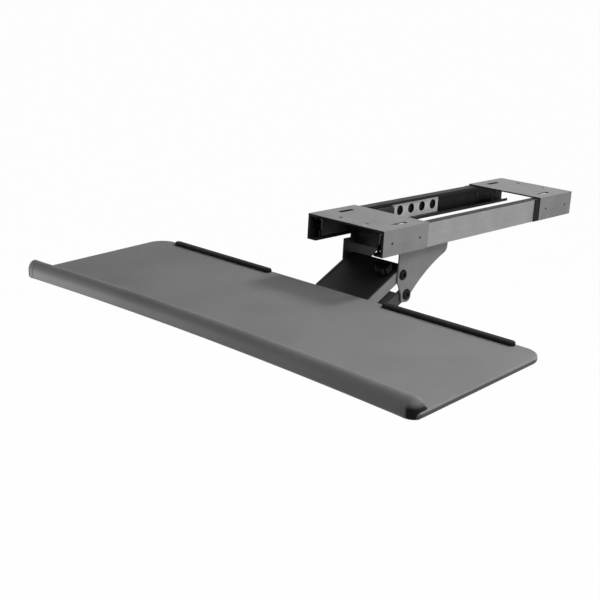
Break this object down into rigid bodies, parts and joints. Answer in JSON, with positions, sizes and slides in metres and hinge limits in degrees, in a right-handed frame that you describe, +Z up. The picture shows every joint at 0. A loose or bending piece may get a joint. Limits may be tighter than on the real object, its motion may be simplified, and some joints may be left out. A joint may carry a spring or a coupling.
{
  "type": "under-desk keyboard tray",
  "caption": "Wide keyboard tray with a palm ridge and back strips, on a tilting, height-adjustable parallelogram arm that slides under a desk on ball-bearing rails.",
  "frame": {"origin": "centre of the four small desk screw holes, on the cross plates' top plane that meets the desk", "axes": "+X to the user's right, +Y towards the back of the desk, +Z up"},
  "size_m": [0.635, 0.7204, 0.1593],
  "materials": {
    "plate_steel": "satin powder coat",
    "rail_steel": "satin",
    "dark_steel": "satin",
    "charcoal_cover": "satin",
    "black_steel": "satin",
    "zinc_steel": "zinc plated",
    "ball_steel": "polished",
    "black_rubber": "matte",
    "black_plastic": "matte",
    "tray_laminate": "satin, finely textured",
    "soft_ridge": "soft matte"
  },
  "bodies": {
    "frame": {"outer_rail_left": "rail_steel", "outer_rail_right": "rail_steel", "front_cross_plate": "plate_steel", "rear_cross_plate": "plate_steel", "frame_rivets": "zinc_steel", "rail_bumpers": "black_rubber"},
    "retainers": {"ball_retainer_left": "zinc_steel", "bearing_balls_left": "ball_steel", "ball_retainer_right": "zinc_steel", "bearing_balls_right": "ball_steel"},
    "carriage": {"slide_member_left": "zinc_steel", "slide_member_right": "zinc_steel", "side_plate_left": "plate_steel", "side_plate_right": "plate_steel", "carriage_cross_web": "dark_steel", "carriage_tie_bar": "zinc_steel", "carriage_screws": "black_steel", "arm_pivot_shaft": "black_steel", "link_pivot_bolts": "black_steel", "pivot_washers": "zinc_steel"},
    "arm": {"arm_channel": "plate_steel", "arm_cover": "charcoal_cover", "height_clamp": "dark_steel"},
    "height_knob": {"height_knob": "black_plastic"},
    "lower_links": {"lower_link_left": "plate_steel", "lower_link_right": "plate_steel", "lower_link_web": "plate_steel"},
    "head": {"head_plate_left": "plate_steel", "head_plate_right": "plate_steel", "head_cross_web": "plate_steel", "tray_shaft": "black_steel", "head_link_bolts": "black_steel", "tilt_clamp_bolt": "black_steel"},
    "tilt_knob": {"tilt_knob": "black_plastic"},
    "tray": {"tilt_bracket": "plate_steel", "tray_screws": "black_steel", "tray_board": "tray_laminate", "palm_ridge": "soft_ridge", "back_strip_left": "soft_ridge", "back_strip_right": "soft_ridge"}
  },
  "joints": [
    {"name": "tray_slide", "type": "slide", "parent": "frame", "child": "carriage", "axis": [0, 1, 0], "range_m": [0, 0.25]},
    {"name": "retainer_roll", "type": "slide", "parent": "frame", "child": "retainers", "axis": [0, 1, 0], "range_m": [0, 0.125]},
    {"name": "arm_pivot", "type": "hinge", "parent": "carriage", "child": "arm", "pos_m": [0, -0.1635, -0.0692], "axis": [1, 0, 0], "range_deg": [-36, 3]},
    {"name": "link_pivot", "type": "hinge", "parent": "carriage", "child": "lower_links", "pos_m": [0, -0.1525, -0.0977], "axis": [1, 0, 0], "range_deg": [-36, 3]},
    {"name": "head_pivot", "type": "hinge", "parent": "arm", "child": "head", "pos_m": [0, -0.27136, -0.1218], "axis": [1, 0, 0], "range_deg": [-3, 36]},
    {"name": "tray_tilt", "type": "hinge", "parent": "head", "child": "tray", "pos_m": [0, -0.27136, -0.1218], "axis": [1, 0, 0], "range_deg": [-10, 10]},
    {"name": "height_knob_turn", "type": "hinge", "parent": "arm", "child": "height_knob", "pos_m": [0.0315, -0.17653, -0.07556], "axis": [0, -0.4384, 0.8988], "range_deg": [0, 180]},
    {"name": "tilt_knob_turn", "type": "hinge", "parent": "head", "child": "tilt_knob", "pos_m": [0.05, -0.29536, -0.1218], "axis": [1, 0, 0], "range_deg": [0, 180]}
  ],
  "couplings": [
    {"joint": "retainer_roll", "follows": "tray_slide", "ratio": 0.5},
    {"joint": "link_pivot", "follows": "arm_pivot", "ratio": 1},
    {"joint": "head_pivot", "follows": "arm_pivot", "ratio": -1}
  ]
}
